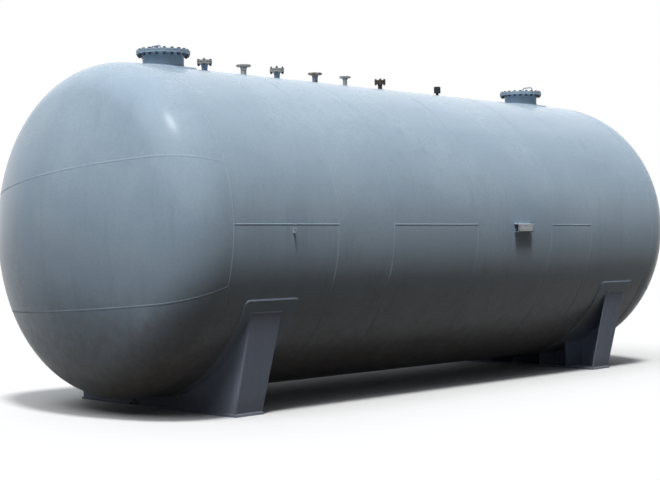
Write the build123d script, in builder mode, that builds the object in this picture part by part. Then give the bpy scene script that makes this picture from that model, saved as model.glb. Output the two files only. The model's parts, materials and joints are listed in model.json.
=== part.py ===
"""Horizontal pressure tank on two saddles: rolled courses, dished heads, manways and flanged nozzles (mm).

X runs along the tank, Z is up from the ground and Y = 0 is the tank's upright middle plane.
"Left" is the -X end and "near" is the -Y side.
"""
import os
from math import asin, cos, degrees, radians, sin, sqrt

from build123d import *

os.makedirs("parts", exist_ok=True)

# Vessel body
shell_diameter = 3200.0
shell_wall = 18.0
wide_course = 1330.0
narrow_course = 790.0
head_wall = 20.0
head_crown_radius = 2880.0
head_knuckle_radius = 554.0
head_straight_flange = 70.0
ground_clearance = 130.0

# Room left where one curved face is welded on to another, and around a neck in its hole
seat_gap = 0.3
weld_gap = 0.5

# Saddles, placed from the seam between shell and head
saddle_setback = 550.0
saddle_width = 370.0
saddle_foot_width = 330.0
saddle_wrap_angle = 123.0
saddle_plate = 16.0
saddle_foot_span = 2364.0
rib_bays = 6
wear_wrap_angle = 132.0
wear_width = 655.0
wear_shift = 35.0
wear_thickness = 12.0
wear_corner = 40.0
base_thickness = 20.0
base_overhang = 15.0
anchor_spacing_x = 190.0
anchor_hole = 28.0
anchor_slot = 64.0

# Manways on the crown, placed from the seam between shell and head
manway_setback = 510.0
manway_neck_diameter = 406.4
manway_neck_wall = 12.7
manway_face_height = 147.0
manway_flange_width = 62.0
manway_flange_thickness = 18.0
manway_weld_recess = 5.0
manway_gasket_thickness = 3.0
manway_gasket_width = 16.0
manway_cover_thickness = 16.0
manway_bolt_edge = 25.0
manway_bolt_count = 20
manway_bolt_hole = 24.0
manway_pad_width = 117.0
manway_pad_thickness = 14.0
inside_projection = 12.0
edge_break = 2.0

# Lifting handle on each manway cover; the right one stands higher and nearer to the tank's end
handle_bar = 16.0
handle_length = 140.0
handle_bend = 24.0
handle_height = dict(left=50.0, right=85.0)
handle_offset = dict(left=90.0, right=150.0)

# Flanged nozzles in three pipe sizes, with four-bolt raised-face flanges
dn25 = dict(pipe=33.4, bore=24.3, flange=108.0, circle=79.4, hole=16.0, thickness=14.0, hub=49.0, face=51.0)
dn40 = dict(pipe=48.3, bore=38.1, flange=127.0, circle=98.4, hole=16.0, thickness=16.0, hub=65.0, face=73.0)
dn50 = dict(pipe=60.3, bore=49.3, flange=152.4, circle=120.7, hole=19.0, thickness=17.0, hub=78.0, face=92.0)
nozzle_top_height = 122.0
nozzle_hub_length = 36.0
raised_face = 2.0
flange_bolts = 4
blind_thickness = 18.0
drain_face_drop = 72.0

# Capped stub, the last nozzle of the crown
cap_diameter = 80.0
cap_height = 76.0
cap_socket = 30.0

# Places along the tank
drain_from_head = 110.0
nozzle_1_from_manway = 531.0
nozzle_2_from_seam = 242.0
nozzle_3_from_seam = 70.0
nozzle_4_from_seam = 505.0
nozzle_5_from_middle = 349.0
nozzle_6_from_middle = 235.0
nozzle_7_from_seam = 70.0
bracket_from_middle = 768.0
lug_from_saddle = 175.0

# Small attachments on the near side
bracket_width = 285.0
bracket_height = 88.0
bracket_stand_off = 55.0
bracket_plate = 5.0
bracket_bend = 8.0
lug_drop = 18.0
lug_reach = 40.0
lug_height = 55.0
lug_plate = 8.0
lug_corner = 10.0
lug_hole = 14.0
lug_hole_from_shell = 22.0

# Sizes that follow from those above
shell_radius = shell_diameter / 2
axis_height = shell_radius + ground_clearance
crown_height = axis_height + shell_radius
axis_point = (0, axis_height)
course_widths = [wide_course, narrow_course, wide_course, wide_course, narrow_course, wide_course]
shell_end = sum(course_widths) / 2
seams = [sum(course_widths[:count]) - shell_end for count in range(len(course_widths) + 1)]
tangent_end = shell_end + head_straight_flange
saddle_x = shell_end - saddle_setback
rib_pitch = saddle_foot_span / rib_bays
anchor_spacing_y = (rib_bays - 1) * rib_pitch
wear_inner = shell_radius + seat_gap
wear_outer = wear_inner + wear_thickness
saddle_seat = wear_outer + seat_gap
manway_x = shell_end - manway_setback
manway_neck_radius = manway_neck_diameter / 2
manway_flange_radius = manway_neck_radius + manway_flange_width
manway_bolt_radius = manway_flange_radius - manway_bolt_edge
manway_pad_radius = manway_neck_radius + manway_pad_width
manway_face = crown_height + manway_face_height
drain_x = drain_from_head - shell_end
bracket_x = seams[3] + bracket_from_middle
lug_x = lug_from_saddle - saddle_x
nozzle_7_x = seams[4] - nozzle_7_from_seam

# Flanged nozzles of the crown from left to right: name, place along the tank, size, closed by a blind flange
crown_nozzles = [
    ("nozzle_1", nozzle_1_from_manway - manway_x, dn50, True),
    ("nozzle_2", seams[1] + nozzle_2_from_seam, dn50, False),
    ("nozzle_3", seams[2] - nozzle_3_from_seam, dn50, True),
    ("nozzle_4", seams[2] + nozzle_4_from_seam, dn50, False),
    ("nozzle_5", seams[3] - nozzle_5_from_middle, dn40, False),
    ("nozzle_6", seams[3] + nozzle_6_from_middle, dn40, True),
]

# Every opening cut in the shell: distance along the tank, hole radius, +1 on the crown or -1 underneath
shell_openings = [(side * manway_x, manway_neck_radius, 1) for side in (-1, 1)]
shell_openings += [(x, size["pipe"] / 2, 1) for name, x, size, closed in crown_nozzles]
shell_openings += [(nozzle_7_x, dn25["pipe"] / 2, 1), (drain_x, dn25["pipe"] / 2, -1)]


def save(block, name):
    block.part.label = name
    export_step(block.part, "parts/" + name + ".step")


def inside_reach(radius):
    """Distance from the tank's axis to the inner end of a neck of this radius."""
    inner = shell_radius - shell_wall
    return sqrt(inner**2 - radius**2) - inside_projection


def on_circle(radius, angle):
    """Point of a cross-section circle; the angle is measured from straight down, plus towards +Y."""
    return (radius * sin(radians(angle)), axis_height - radius * cos(radians(angle)))


# Shell: six rolled courses butted end to end
for number, width in enumerate(course_widths, 1):
    start, end = seams[number - 1], seams[number]
    with BuildPart() as course:
        with BuildSketch(Plane.YZ.offset(start)):
            with Locations(axis_point):
                Circle(shell_radius)
                Circle(shell_radius - shell_wall, mode=Mode.SUBTRACT)
        extrude(amount=width)
        for x, radius, way in shell_openings:
            if x + radius > start and x - radius < end:
                with BuildSketch(Plane((x, 0, axis_height))):
                    Circle(radius + weld_gap)
                extrude(amount=way * shell_diameter, mode=Mode.SUBTRACT)
    save(course, "shell_course_" + str(number))

# Heads: a crown arc and a knuckle arc with a short straight flange, turned about the tank's axis
knuckle_offset = shell_radius - head_knuckle_radius
centre_distance = head_crown_radius - head_knuckle_radius
crown_angle = degrees(asin(knuckle_offset / centre_distance))
crown_centre = (tangent_end - sqrt(centre_distance**2 - knuckle_offset**2), axis_height)
knuckle_centre = (tangent_end, axis_height + knuckle_offset)
head_tip = crown_centre[0] + head_crown_radius
with BuildPart() as head_right:
    with BuildSketch(Plane.XZ):
        with BuildLine():
            for inset in (0, head_wall):
                edge = axis_height + shell_radius - inset
                Line((shell_end, edge), (tangent_end, edge))
                CenterArc(knuckle_centre, head_knuckle_radius - inset, crown_angle, 90 - crown_angle)
                CenterArc(crown_centre, head_crown_radius - inset, 0, crown_angle)
            Line((head_tip, axis_height), (head_tip - head_wall, axis_height))
            Line((shell_end, axis_height + shell_radius), (shell_end, axis_height + shell_radius - head_wall))
        make_face()
    revolve(axis=Axis((0, 0, axis_height), (1, 0, 0)))
save(head_right, "head_right")

with BuildPart() as head_left:
    mirror(head_right.part, about=Plane.YZ)
save(head_left, "head_left")


def saddle_arc(radius_in, radius_out, wrap):
    """Closed line of a curved plate under the shell, in the cross-section plane."""
    half = wrap / 2
    straight_down = 270
    CenterArc(axis_point, radius_in, straight_down - half, wrap)
    CenterArc(axis_point, radius_out, straight_down - half, wrap)
    for angle in (-half, half):
        Line(on_circle(radius_in, angle), on_circle(radius_out, angle))


# Lean of the saddle's end ribs, from the base plate up to the horn on the wear plate
horn_y, horn_z = on_circle(saddle_seat, saddle_wrap_angle / 2)
foot_y = saddle_foot_span / 2
rise = horn_z - base_thickness
lean = (horn_y - foot_y) / rise
rib_along = saddle_plate * sqrt(1 + lean**2)
rib_top = rise + 4 * saddle_plate


def rib_outline(sign):
    """Corners of a leaning end rib; it runs past the wear plate and is trimmed to it afterwards."""
    low, high = base_thickness, base_thickness + rib_top
    reach = foot_y + lean * rib_top
    return [(sign * foot_y, low), (sign * reach, high),
            (sign * (reach - rib_along), high), (sign * (foot_y - rib_along), low)]


for side, name in ((-1, "left"), (1, "right")):
    middle_x = side * saddle_x
    low_x = middle_x - saddle_width / 2
    web_x = low_x if side < 0 else low_x + saddle_width - saddle_plate
    rib_x = low_x + saddle_plate if side < 0 else low_x
    inner_x = middle_x - side * saddle_width / 2
    foot_taper = saddle_width - saddle_foot_width
    base_x = middle_x + side * foot_taper / 2

    with BuildPart() as rib_taper:
        with BuildSketch(Plane.XZ):
            with BuildLine():
                Polyline((inner_x + side * foot_taper, base_thickness), (inner_x, base_thickness),
                         (inner_x, horn_z), close=True)
            make_face()
        extrude(amount=saddle_foot_span, both=True)

    with BuildPart() as wear_plate:
        with BuildSketch(Plane.YZ.offset(middle_x - side * wear_shift - wear_width / 2)):
            with BuildLine():
                saddle_arc(wear_inner, wear_outer, wear_wrap_angle)
            make_face()
        extrude(amount=wear_width)
        corners = wear_plate.edges().filter_by(lambda e: abs(e.length - wear_thickness) < seat_gap)
        fillet(corners, radius=wear_corner)
    save(wear_plate, "saddle_" + name + "_wear_plate")

    with BuildPart() as base_plate:
        with BuildSketch(Plane((base_x, 0, 0))):
            Rectangle(saddle_foot_width + 2 * base_overhang, saddle_foot_span + 2 * base_overhang)
            with GridLocations(anchor_spacing_x, anchor_spacing_y, 2, 2):
                if side < 0:
                    Circle(anchor_hole / 2, mode=Mode.SUBTRACT)
                else:
                    SlotOverall(anchor_slot, anchor_hole, mode=Mode.SUBTRACT)
        extrude(amount=base_thickness)
    save(base_plate, "saddle_" + name + "_base_plate")

    with BuildPart() as end_ribs:
        with BuildSketch(Plane.YZ.offset(low_x)):
            for sign in (-1, 1):
                with BuildLine():
                    Polyline(*rib_outline(sign), close=True)
                make_face()
            with Locations(axis_point):
                Circle(saddle_seat, mode=Mode.SUBTRACT)
        extrude(amount=saddle_width)
        add(rib_taper.part, mode=Mode.SUBTRACT)
    save(end_ribs, "saddle_" + name + "_end_ribs")

    with BuildPart() as web:
        with BuildSketch(Plane.YZ.offset(web_x)):
            with BuildLine():
                near_side, far_side = rib_outline(-1), rib_outline(1)
                Polyline(near_side[3], near_side[2], far_side[2], far_side[3], close=True)
            make_face()
            with Locations(axis_point):
                Circle(saddle_seat, mode=Mode.SUBTRACT)
        extrude(amount=saddle_plate)
    save(web, "saddle_" + name + "_web")

    with BuildPart() as inner_ribs:
        with BuildSketch(Plane.YZ.offset(rib_x)):
            for count in range(1, rib_bays):
                with Locations((count * rib_pitch - foot_y, base_thickness)):
                    Rectangle(saddle_plate, shell_radius, align=(Align.CENTER, Align.MIN))
            with Locations(axis_point):
                Circle(saddle_seat, mode=Mode.SUBTRACT)
        extrude(amount=saddle_width - saddle_plate)
        add(rib_taper.part, mode=Mode.SUBTRACT)
    save(inner_ribs, "saddle_" + name + "_inner_ribs")

# Manways: pad, neck, flange, gasket and bolted cover with a lifting handle
for side, name in ((-1, "left"), (1, "right")):
    x = side * manway_x
    neck_low = axis_height + inside_reach(manway_neck_radius)
    under_flange = manway_face - manway_flange_thickness
    cover_low = manway_face + manway_gasket_thickness
    cover_top = cover_low + manway_cover_thickness

    with BuildPart() as pad:
        with BuildSketch(Plane.YZ.offset(x - manway_pad_radius)):
            with Locations(axis_point):
                Circle(shell_radius + seat_gap + manway_pad_thickness)
                Circle(shell_radius + seat_gap, mode=Mode.SUBTRACT)
        extrude(amount=2 * manway_pad_radius)
        with BuildSketch(Plane((x, 0, axis_height))):
            Circle(manway_pad_radius)
            Circle(manway_neck_radius + weld_gap, mode=Mode.SUBTRACT)
        extrude(amount=shell_diameter, mode=Mode.INTERSECT)
    save(pad, "manway_" + name + "_pad")

    with BuildPart() as neck:
        with BuildSketch(Plane((x, 0, neck_low))):
            Circle(manway_neck_radius)
            Circle(manway_neck_radius - manway_neck_wall, mode=Mode.SUBTRACT)
        extrude(amount=manway_face - manway_weld_recess - neck_low)
    save(neck, "manway_" + name + "_neck")

    with BuildPart() as flange:
        with BuildSketch(Plane((x, 0, under_flange))):
            Circle(manway_flange_radius)
            Circle(manway_neck_radius + weld_gap, mode=Mode.SUBTRACT)
            with PolarLocations(manway_bolt_radius, manway_bolt_count):
                Circle(manway_bolt_hole / 2, mode=Mode.SUBTRACT)
        extrude(amount=manway_flange_thickness)
    save(flange, "manway_" + name + "_flange")

    with BuildPart() as gasket:
        with BuildSketch(Plane((x, 0, manway_face))):
            Circle(manway_neck_radius + manway_gasket_width)
            Circle(manway_neck_radius, mode=Mode.SUBTRACT)
        extrude(amount=manway_gasket_thickness)
    save(gasket, "manway_" + name + "_gasket")

    with BuildPart() as cover:
        with BuildSketch(Plane((x, 0, cover_low))):
            Circle(manway_flange_radius)
            with PolarLocations(manway_bolt_radius, manway_bolt_count):
                Circle(manway_bolt_hole / 2, mode=Mode.SUBTRACT)
        extrude(amount=manway_cover_thickness)
        rim = cover.faces().sort_by(Axis.Z)[-1].outer_wire().edges()
        chamfer(rim, length=edge_break)
    save(cover, "manway_" + name + "_cover")

    with BuildPart() as handle:
        with BuildLine(Plane.YZ.offset(x + side * handle_offset[name])) as path:
            half = handle_length / 2
            bar_top = cover_top + handle_height[name] - handle_bar / 2
            FilletPolyline((-half, cover_top), (-half, bar_top), (half, bar_top), (half, cover_top),
                           radius=handle_bend)
        with BuildSketch(Plane((x + side * handle_offset[name], -half, cover_top))):
            Circle(handle_bar / 2)
        sweep(path=path.line)
    save(handle, "manway_" + name + "_handle")


def flanged_nozzle(x, size, face, way):
    """Forged nozzle turned about an upright line through the tank's axis; way is +1 upwards, -1 downwards."""
    bore, pipe, hub, flange = size["bore"] / 2, size["pipe"] / 2, size["hub"] / 2, size["flange"] / 2
    seat = size["face"] / 2
    low = inside_reach(pipe)
    shoulder = face - raised_face
    back = shoulder - size["thickness"]
    profile = [(bore, low), (pipe, low), (pipe, back - nozzle_hub_length), (hub, back), (flange, back),
               (flange, shoulder), (seat, shoulder), (seat, face), (bore, face)]
    with BuildPart() as nozzle:
        with BuildSketch(Plane.XZ):
            with BuildLine():
                Polyline(*[(x + r, axis_height + way * reach) for r, reach in profile], close=True)
            make_face()
        revolve(axis=Axis((x, 0, 0), (0, 0, 1)))
        with BuildSketch(Plane((x, 0, axis_height + way * back))):
            with PolarLocations(size["circle"] / 2, flange_bolts, start_angle=45):
                Circle(size["hole"] / 2)
        extrude(amount=way * size["thickness"], mode=Mode.SUBTRACT)
    return nozzle


def blind_flange(x, size, face):
    """Round plate bolted on a crown nozzle, with its raised face against the nozzle's."""
    with BuildPart() as blind:
        with BuildSketch(Plane((x, 0, axis_height + face))):
            Circle(size["face"] / 2)
        extrude(amount=raised_face)
        with BuildSketch(Plane((x, 0, axis_height + face + raised_face))):
            Circle(size["flange"] / 2)
            with PolarLocations(size["circle"] / 2, flange_bolts, start_angle=45):
                Circle(size["hole"] / 2, mode=Mode.SUBTRACT)
        extrude(amount=blind_thickness - raised_face)
    return blind


# Flanged nozzles on the crown and the drain under the left end
for name, x, size, closed in crown_nozzles:
    face = shell_radius + nozzle_top_height
    if closed:
        face -= blind_thickness
        save(blind_flange(x, size, face), name + "_blind")
    save(flanged_nozzle(x, size, face, 1), name)
save(flanged_nozzle(drain_x, dn25, shell_radius + drain_face_drop, -1), "drain_nozzle")

# Last nozzle: a pipe stub with a round screw-on cap that sits on its end
cap_low = crown_height + nozzle_top_height - cap_height
stub_low = axis_height + inside_reach(dn25["pipe"] / 2)
with BuildPart() as stub:
    with BuildSketch(Plane((nozzle_7_x, 0, stub_low))):
        Circle(dn25["pipe"] / 2)
        Circle(dn25["bore"] / 2, mode=Mode.SUBTRACT)
    extrude(amount=cap_low + cap_socket - stub_low)
save(stub, "nozzle_7")

with BuildPart() as cap:
    with BuildSketch(Plane((nozzle_7_x, 0, cap_low))):
        Circle(cap_diameter / 2)
    extrude(amount=cap_height)
    with BuildSketch(Plane((nozzle_7_x, 0, cap_low))):
        Circle(dn25["pipe"] / 2 + weld_gap)
    extrude(amount=cap_socket, mode=Mode.SUBTRACT)
    chamfer(cap.faces().sort_by(Axis.Z)[-1].edges(), length=edge_break)
save(cap, "nozzle_7_cap")

# Bracket that carries the rating plate on the near side, bent from strip with a leg above and a leg below,
# both trimmed to the round shell
with BuildPart() as plate_bracket:
    front_y = -(shell_radius + bracket_stand_off)
    inner_y = front_y + bracket_plate
    leg_end_y = bracket_bend - shell_radius
    half = bracket_height / 2
    inner = half - bracket_plate
    with BuildSketch(Plane.YZ.offset(bracket_x - bracket_width / 2)):
        with BuildLine():
            FilletPolyline((leg_end_y, axis_height - half), (front_y, axis_height - half),
                           (front_y, axis_height + half), (leg_end_y, axis_height + half), radius=bracket_bend)
            FilletPolyline((leg_end_y, axis_height - inner), (inner_y, axis_height - inner),
                           (inner_y, axis_height + inner), (leg_end_y, axis_height + inner),
                           radius=bracket_bend - bracket_plate)
            for sign in (-1, 1):
                Line((leg_end_y, axis_height + sign * half), (leg_end_y, axis_height + sign * inner))
        make_face()
        with Locations(axis_point):
            Circle(shell_radius + seat_gap, mode=Mode.SUBTRACT)
    extrude(amount=bracket_width)
save(plate_bracket, "plate_bracket")

# Earthing lug, an upright plate welded to the shell near the left saddle
with BuildPart() as earth_lug:
    lug_z = axis_height - lug_drop
    with BuildSketch(Plane.YZ.offset(lug_x - lug_plate / 2)):
        with Locations((-shell_radius, lug_z)):
            RectangleRounded(2 * lug_reach, lug_height, lug_corner)
        with Locations(axis_point):
            Circle(shell_radius + seat_gap, mode=Mode.SUBTRACT)
        with Locations((-(shell_radius + lug_hole_from_shell), lug_z)):
            Circle(lug_hole / 2, mode=Mode.SUBTRACT)
    extrude(amount=lug_plate)
save(earth_lug, "earth_lug")
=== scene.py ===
"""Looks of a horizontal pressure tank on two saddles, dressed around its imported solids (metres).

X runs along the tank, Z is up from the floor and -Y is the side that faces the camera.
"""
import json
from math import asin, cos, pi, radians, sin, sqrt

import bmesh
import bpy
import numpy as np
from mathutils import Matrix, Vector


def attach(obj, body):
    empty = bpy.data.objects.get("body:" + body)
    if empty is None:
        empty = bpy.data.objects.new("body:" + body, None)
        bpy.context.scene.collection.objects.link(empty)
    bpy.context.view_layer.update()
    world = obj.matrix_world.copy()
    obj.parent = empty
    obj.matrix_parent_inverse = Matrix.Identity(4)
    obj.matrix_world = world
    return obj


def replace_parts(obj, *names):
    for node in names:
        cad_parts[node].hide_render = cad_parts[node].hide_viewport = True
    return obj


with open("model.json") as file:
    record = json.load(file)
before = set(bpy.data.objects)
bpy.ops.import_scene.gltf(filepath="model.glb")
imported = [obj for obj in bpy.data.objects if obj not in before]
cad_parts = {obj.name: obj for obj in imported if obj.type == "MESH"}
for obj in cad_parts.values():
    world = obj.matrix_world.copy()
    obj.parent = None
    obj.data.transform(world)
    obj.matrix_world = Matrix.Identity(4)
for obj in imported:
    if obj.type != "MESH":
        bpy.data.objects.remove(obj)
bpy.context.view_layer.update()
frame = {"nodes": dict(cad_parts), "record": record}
cad = frame["nodes"]
scene = bpy.context.scene

ALONG = np.array([1.0, 0.0, 0.0])
UP = np.array([0.0, 0.0, 1.0])

# Sizes of the solids that the welds, bolts and plates sit on
TANK_RADIUS = 1.600
AXIS_HEIGHT = 1.730
CROWN_HEIGHT = AXIS_HEIGHT + TANK_RADIUS
SEAMS = (-3.450, -2.120, -1.330, 0.0, 1.330, 2.120, 3.450)
TANGENT_END = 3.520
HEAD_CROWN = 2.880
HEAD_KNUCKLE = 0.554
HEAD_WALL = 0.020
SADDLE_X = 2.900
SADDLE_WIDTH = 0.370
SADDLE_FOOT_WIDTH = 0.330
SADDLE_PLATE = 0.016
SADDLE_FOOT = 1.182
SADDLE_WRAP = 123.0
BASE_TOP = 0.020
RIB_PITCH = 0.394
RIB_PLACES = (-2, -1, 0, 1, 2)
WEAR_OUTER = 1.6123
WEAR_HALF_WIDTH = 0.3275
WEAR_HALF_WRAP = 66.0
WEAR_SHIFT = 0.035
WEAR_CORNER = 0.040
MANWAY_X = 2.940
MANWAY_NECK = 0.2032
MANWAY_PAD = 0.3202
MANWAY_PAD_TOP = 0.0143
MANWAY_BOLT_CIRCLE = 0.2402
MANWAY_FLANGE_LOW = 0.129
MANWAY_COVER_TOP = 0.166
DRAIN_X = -3.340
DRAIN_NECK = 0.0167
BRACKET_X = 0.768
BRACKET_HALF = 0.1425
BRACKET_HEIGHT = 0.088
BRACKET_FRONT = -1.655
LUG_X = -2.725
LUG_PLATE = 0.008
LUG_MIDDLE = AXIS_HEIGHT - 0.018
LUG_HALF_HEIGHT = 0.0275
# Distance along the tank and neck radius of each crown nozzle
NOZZLES = ((-2.409, 0.03015), (-1.878, 0.03015), (-1.400, 0.03015), (-0.825, 0.03015),
           (-0.349, 0.02415), (0.235, 0.02415), (1.260, 0.0167))
# Blinded nozzles: distance along the tank, bolt circle radius, underside of the flange and top of the
# blind above the crown, and how far the bolts stand out of their upper nuts
BLINDED = ((-2.409, 0.06035, 0.085, 0.122, 0.003), (-1.400, 0.06035, 0.085, 0.122, 0.010),
           (0.235, 0.0492, 0.086, 0.122, 0.005))
# How far up a nozzle its neck's paint reaches
NECK_PAINT_TOP = CROWN_HEIGHT + 0.075
BROWN_NECK_TOP = CROWN_HEIGHT + 0.070
PALE_NECK_TOP = CROWN_HEIGHT + 0.085

# Width and height of each kind of weld bead, and how deep, how uneven and how finely cut all of them are
RING_BEAD = (0.026, 0.0027)
LONG_BEAD = (0.016, 0.0040)
HEAD_BEAD = (0.022, 0.0019)
WEAR_BEAD = (0.024, 0.011)
SADDLE_BEAD = (0.020, 0.009)
MANWAY_BEAD = (0.022, 0.010)
NOZZLE_BEAD = (0.020, 0.009)
BRACKET_BEAD = (0.012, 0.006)
BEAD_SINK = 0.001
BEAD_UNEVENNESS = 0.25
BEAD_SIDES = 7

# Bolts, by the inputs of their node tree, their number on a circle and the first one's angle
MANWAY_BOLT = {"Shank": 0.010, "Grip": MANWAY_COVER_TOP - MANWAY_FLANGE_LOW, "Above": -0.002,
               "Below": 0.006, "Hexagon": 0.0173, "Head height": 0.0115, "Nut height": 0.016,
               "Washer": 0.003, "Seed": 4}
MANWAY_BOLTS = (20, 0.0)
NOZZLE_BOLT = {"Shank": 0.008, "Below": 0.006, "Hexagon": 0.0139, "Head height": 0.010,
               "Nut height": 0.013, "Washer": 0.002, "Seed": 7}
NOZZLE_BOLTS = (4, 45.0)
# Sides of the round shanks and washers, a washer's size over its nut's, and a nut's straight part and the
# top of its bevel as shares of its height and its face
SHANK_SIDES = 14
WASHER_SIDES = 18
WASHER_OVER_NUT = 1.06
NUT_STRAIGHT = 0.8
NUT_BEVEL = 0.2
NUT_TOP = 0.82

# Rating plate and its rivets
PLATE_HALF = (0.122, 0.034)
PLATE_THICKNESS = 0.0015
PLATE_ROUND = 0.006
PLATE_BORDER = 0.004
PLATE_STEP = 0.0006
PLATE_SUNK = 0.0004
RIVET_INSET = 0.008
RIVET = {"Head": 0.005, "Dome": 0.0022}


# Small helpers for node trees

def add(tree, kind, settings=(), inputs=()):
    """Adds a node, sets its properties, and sets or wires its inputs by name or number."""
    node = tree.nodes.new(kind)
    for key, value in dict(settings).items():
        setattr(node, key, value)
    for key, value in dict(inputs).items():
        if isinstance(value, bpy.types.NodeSocket):
            tree.links.new(value, node.inputs[key])
        else:
            node.inputs[key].default_value = value
    return node


def maths(tree, operation, *values, clamp=False):
    settings = {"operation": operation, "use_clamp": clamp}
    return add(tree, "ShaderNodeMath", settings, enumerate(values)).outputs[0]


def times(tree, a, b):
    return maths(tree, "MULTIPLY", a, b)


def plus(tree, a, b, clamp=False):
    return maths(tree, "ADD", a, b, clamp=clamp)


def minus(tree, a, b):
    return maths(tree, "SUBTRACT", a, b)


def times_plus(tree, a, b, more):
    return maths(tree, "MULTIPLY_ADD", a, b, more)


def vector(tree, x=0.0, y=0.0, z=0.0):
    return add(tree, "ShaderNodeCombineXYZ", {}, {0: x, 1: y, 2: z}).outputs[0]


def upward(tree, whole):
    """The Z part of a vector."""
    return add(tree, "ShaderNodeSeparateXYZ", {}, {0: whole}).outputs["Z"]


def blend(tree, factor, a, b, how="MIX"):
    """Mixes two colours."""
    settings = {"data_type": "RGBA", "blend_type": how}
    return add(tree, "ShaderNodeMix", settings, {0: factor, 6: a, 7: b}).outputs[2]


def spread(tree, value, low, high, to_low=0.0, to_high=1.0):
    """Maps a value from one range to another with soft ends."""
    inputs = {0: value, 1: low, 2: high, 3: to_low, 4: to_high}
    return add(tree, "ShaderNodeMapRange", {"interpolation_type": "SMOOTHSTEP"}, inputs).outputs[0]


def noise(tree, spot, scale, detail=3.0, rough=0.55):
    inputs = {"Vector": spot, "Scale": scale, "Detail": detail, "Roughness": rough}
    return add(tree, "ShaderNodeTexNoise", {}, inputs).outputs["Fac"]


def stretched(tree, spot, scale):
    return add(tree, "ShaderNodeMapping", {}, {"Vector": spot, "Scale": scale}).outputs[0]


def here(tree):
    """Object coordinates."""
    return add(tree, "ShaderNodeTexCoord").outputs["Object"]


def tone(red, green, blue):
    return (red, green, blue, 1.0)


def new_group(name, inputs, outputs):
    """An empty shader node group with named sockets, and its two end nodes."""
    group = bpy.data.node_groups.new(name, "ShaderNodeTree")
    for label, value in inputs.items():
        kind = "NodeSocketColor" if isinstance(value, tuple) else "NodeSocketFloat"
        group.interface.new_socket(label, in_out="INPUT", socket_type=kind).default_value = value
    for label in outputs:
        kind = "NodeSocketColor" if label == "Color" else "NodeSocketFloat"
        group.interface.new_socket(label, in_out="OUTPUT", socket_type=kind)
    return group, group.nodes.new("NodeGroupInput").outputs, group.nodes.new("NodeGroupOutput").inputs


def place(tree, group, values=()):
    """Puts a node group in a material with its own values."""
    return add(tree, "ShaderNodeGroup", {"node_tree": group}, values).outputs


# Colours that several finishes share, and how much the paint shines
DUST = tone(0.46, 0.44, 0.40)
# Dark brown of soil; spread far up the tank it is also painted shade
SOIL_AND_SHADE = tone(0.17, 0.125, 0.09)
RAIN = tone(0.20, 0.22, 0.22)
SPECK = tone(0.10, 0.11, 0.11)
RUST_DARK = tone(0.055, 0.027, 0.016)
RUST_PALE = tone(0.17, 0.075, 0.032)
TANK_BLUE = tone(0.376, 0.495, 0.618)
TANK_FADED = tone(0.446, 0.570, 0.685)
# A darker copy of the tank's blue on the nozzle necks: painted shade
SHADED_NECK_BLUE = tone(0.24, 0.33, 0.44)
# Pale edges of fittings and saddles: worn paint, and a painted highlight along the edges
RUBBED_EDGE_HIGHLIGHT = tone(0.62, 0.68, 0.73)
PAINT_SPECULAR = 0.085
PLAIN_SPECULAR = 0.5
# Roughness of rust, and what worn paint and dirt add to the paint's own
RUST_ROUGH = 0.85
WORN_ROUGH = 0.25
DIRT_ROUGH = 0.3
# Soil and painted shade on the lower half of the tank, darker towards the bottom: how much, how high up, and
# how softly it ends
TANK_SOIL_AND_SHADE = {"splash_and_shade": 0.62, "reach": 1.3, "edge": 0.6}
# The ragged upper edge of a neck's paint, and the height over which it ends
NECK_RAGGED = 0.012
NECK_FADE = 0.010
# Heights of the finest relief, which the finishes draw
PEEL_HEIGHT = 0.00006
WAVE_HEIGHT = 0.0045
RUST_HEIGHT = 0.0006
RIPPLE_HEIGHT = 0.0004
BRUSHED_HEIGHT = 0.00008
RUBBER_HEIGHT = 0.0003
THREAD_HEIGHT = 0.0005
THREAD_PITCH = 0.0025


# Effects that the finishes share

def make_sprayed_paint():
    """Sprayed paint: faded patches, spray laps along the tank, grit, and the skin's fine unevenness."""
    group, given, out = new_group(
        "sprayed_paint", {"Paint": tone(0.4, 0.5, 0.6), "Faded": tone(0.5, 0.6, 0.7), "Gloss": 0.45},
        ("Color", "Roughness", "Height"))
    spot = here(group)
    patches = spread(group, noise(group, spot, 0.9, 5.0, 0.6), 0.36, 0.68)
    laps = spread(group, noise(group, stretched(group, spot, (0.3, 2.4, 2.4)), 1.0, 3.0), 0.35, 0.68)
    grit = noise(group, spot, 46.0, 5.0, 0.7)
    specks = spread(group, noise(group, spot, 150.0, 2.0), 0.66, 0.74)
    fade = times_plus(group, patches, 0.6, times(group, laps, 0.4))
    colour = blend(group, fade, given["Paint"], given["Faded"])
    shade = spread(group, grit, 0.25, 0.75, 0.93, 1.05)
    colour = blend(group, 1.0, colour, shade, "MULTIPLY")
    colour = blend(group, times(group, specks, 0.16), colour, SPECK)
    group.links.new(colour, out["Color"])
    rough = times_plus(group, grit, 0.14, given["Gloss"])
    group.links.new(times_plus(group, patches, 0.08, rough), out["Roughness"])
    peel = times(group, noise(group, spot, 320.0, 1.0), PEEL_HEIGHT)
    wave = times(group, noise(group, spot, 1.5, 1.0), WAVE_HEIGHT)
    group.links.new(plus(group, peel, wave), out["Height"])
    return group


def make_rain_marks():
    """Marks that rain has drawn downwards."""
    group, given, out = new_group("rain_marks", {"Spacing": 9.0}, ("Mask",))
    spot = here(group)
    streaks = noise(group, stretched(group, spot, (1.0, 1.0, 0.045)), given["Spacing"], 5.0, 0.62)
    broad = spread(group, noise(group, spot, 0.7, 3.0), 0.35, 0.7)
    group.links.new(times(group, spread(group, streaks, 0.48, 0.74), broad), out["Mask"])
    return group


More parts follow.
